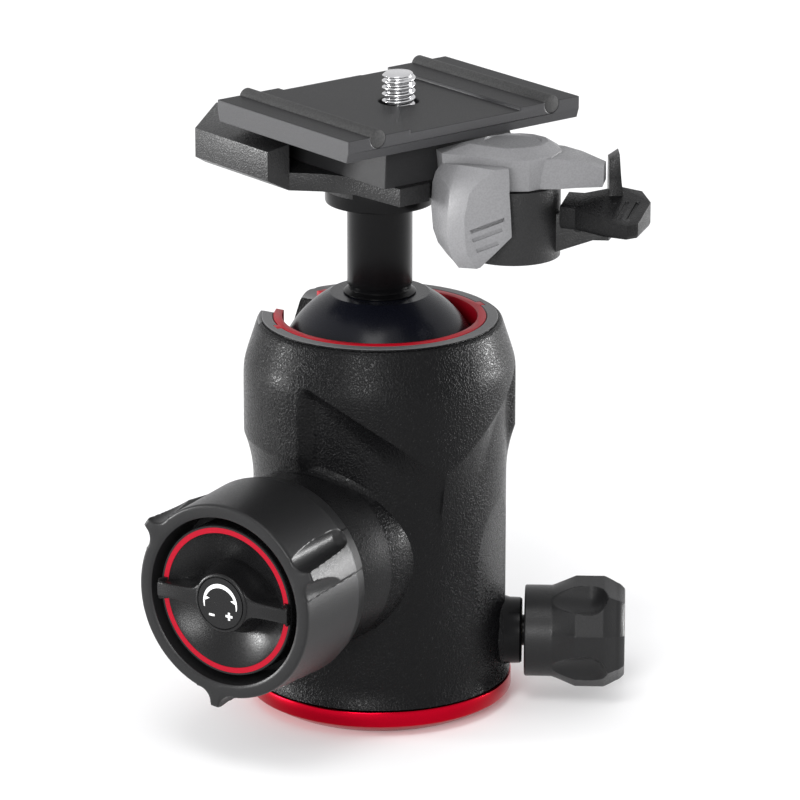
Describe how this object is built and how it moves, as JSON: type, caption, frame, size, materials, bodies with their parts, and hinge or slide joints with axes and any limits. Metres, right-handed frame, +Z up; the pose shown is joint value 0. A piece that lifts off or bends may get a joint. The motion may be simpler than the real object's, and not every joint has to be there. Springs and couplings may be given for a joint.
{
  "type": "tripod ball head",
  "caption": "Ball head for a camera tripod: a locking ball with a quick release clamp and plate, a main knob with an inner friction dial, and a panning base.",
  "frame": {"origin": "middle of the base's underside, where the tripod's screw enters", "axes": "+Z up along the resting stem, -Y out along the main knob, -X towards the drop notch"},
  "size_m": [0.0894, 0.0911, 0.124],
  "materials": {
    "red_anodised": "glossy red anodised",
    "steel": "zinc plated",
    "bright_steel": "bright, machined thread",
    "white_polymer": "acetal",
    "black_wrinkle_paint": "black wrinkle powder coat",
    "black_paint": "fine black powder coat",
    "grey_paint": "mid grey powder coat",
    "red_polymer": "satin red polymer",
    "brass": "turned brass",
    "black_anodised": "satin black anodised",
    "grey_anodised": "fine dark grey anodised",
    "rubber": "soft black rubber",
    "black_plastic": "fine matt grained plastic",
    "red_print": "red trim ring",
    "label": "black disc with a plain white arrow, minus and plus"
  },
  "bodies": {
    "base": {"base_disc": "red_anodised", "pan_hub": "steel", "thread_bush": "steel", "base_screws": "steel", "pan_retainer": "steel", "retainer_screws": "steel", "pan_washer": "white_polymer"},
    "body": {"housing": "black_wrinkle_paint", "liner_ring": "red_polymer", "cup_carrier": "steel", "disc_spring": "steel", "wedge_plunger": "steel", "clamp_nut": "brass", "pan_nut": "brass", "pan_brake_pad": "brass"},
    "swivel": {"ball_cup": "white_polymer"},
    "tilt": {"ball": "black_anodised"},
    "head": {"stem": "black_anodised", "stem_bolt": "steel", "clamp_casting": "black_wrinkle_paint", "plate": "grey_anodised", "grip_strips": "rubber", "screw_clip": "steel", "lever_bush": "brass", "lever_spring": "steel", "catch_pin": "steel", "catch_spring": "steel"},
    "lock_knob": {"main_knob": "black_plastic", "clamp_screw": "steel", "friction_spring": "steel"},
    "dial": {"friction_dial": "black_plastic", "dial_ring": "red_print", "dial_label": "label", "friction_stud": "steel"},
    "pan_lock": {"pan_knob": "black_plastic", "pan_screw": "steel"},
    "lever": {"clamp_lever": "grey_paint", "lever_screw": "steel"},
    "catch": {"catch_lever": "black_paint"},
    "mount_screw": {"camera_screw": "bright_steel"}
  },
  "joints": [
    {"name": "pan_turn", "type": "hinge", "parent": "base", "child": "body", "pos_m": [0, 0, 0], "axis": [0, 0, 1], "continuous": true},
    {"name": "ball_swivel", "type": "hinge", "parent": "body", "child": "swivel", "pos_m": [0, 0, 0.0635], "axis": [0, 0, 1], "range_deg": [0, 360]},
    {"name": "ball_tilt", "type": "hinge", "parent": "swivel", "child": "tilt", "pos_m": [0, 0, 0.0635], "axis": [0, -1, 0], "range_deg": [-38, 90]},
    {"name": "stem_spin", "type": "hinge", "parent": "tilt", "child": "head", "pos_m": [0, 0, 0.0635], "axis": [0, 0, 1], "continuous": true},
    {"name": "lock_turn", "type": "hinge", "parent": "body", "child": "lock_knob", "pos_m": [0, -0.0544, 0.0347], "axis": [0, -1, 0], "range_deg": [0, 300]},
    {"name": "friction_turn", "type": "hinge", "parent": "lock_knob", "child": "dial", "pos_m": [0, -0.0544, 0.0347], "axis": [0, -1, 0], "range_deg": [-150, 150]},
    {"name": "pan_lock_turn", "type": "hinge", "parent": "body", "child": "pan_lock", "pos_m": [0.03248, 0.01875, 0.013], "axis": [0.866, 0.5, 0], "range_deg": [0, 360]},
    {"name": "lever_open", "type": "hinge", "parent": "head", "child": "lever", "pos_m": [0.02848, 0.0013, 0.108], "axis": [0, 0, 1], "range_deg": [0, 50], "stiffness_Nm_per_rad": 0.1, "springref_deg": -34.38},
    {"name": "catch_press", "type": "hinge", "parent": "head", "child": "catch", "pos_m": [0.04152, 0.00479, 0.0999], "axis": [-0.2588, 0.9659, 0], "range_deg": [0, 10], "stiffness_Nm_per_rad": 0.02, "springref_deg": -34.38},
    {"name": "camera_screw_turn", "type": "hinge", "parent": "head", "child": "mount_screw", "pos_m": [0.00305, 0.0018, 0.115], "axis": [0, 0, 1], "continuous": true}
  ]
}
